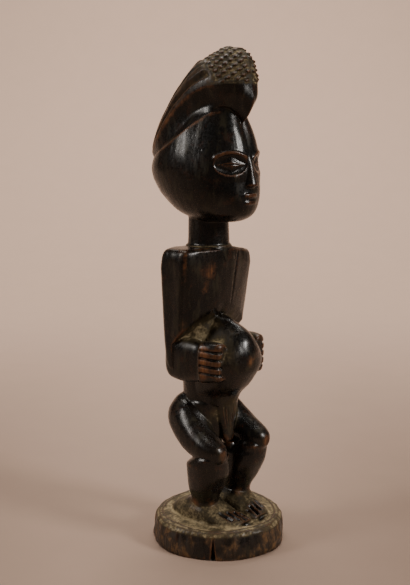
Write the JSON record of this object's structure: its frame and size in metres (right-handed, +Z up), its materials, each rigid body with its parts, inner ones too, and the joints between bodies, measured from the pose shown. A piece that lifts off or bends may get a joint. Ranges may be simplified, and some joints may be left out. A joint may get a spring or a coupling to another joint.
{
  "type": "carved standing figure",
  "caption": "Carved wooden figure standing with bent knees on a round base of the same block, hands laid on a swelling belly, under a tall crested coiffure with a hatched pad.",
  "frame": {"origin": "middle of the base's flat underside", "axes": "+Z up along the figure, -Y the way it faces, +X its left side"},
  "size_m": [0.0768, 0.0896, 0.2825],
  "materials": {
    "patinated_wood": "dark glossy patina, worn red-brown on edges, dusty in recesses"
  },
  "bodies": {
    "root": {"figure": "patinated_wood"}
  },
  "joints": []
}
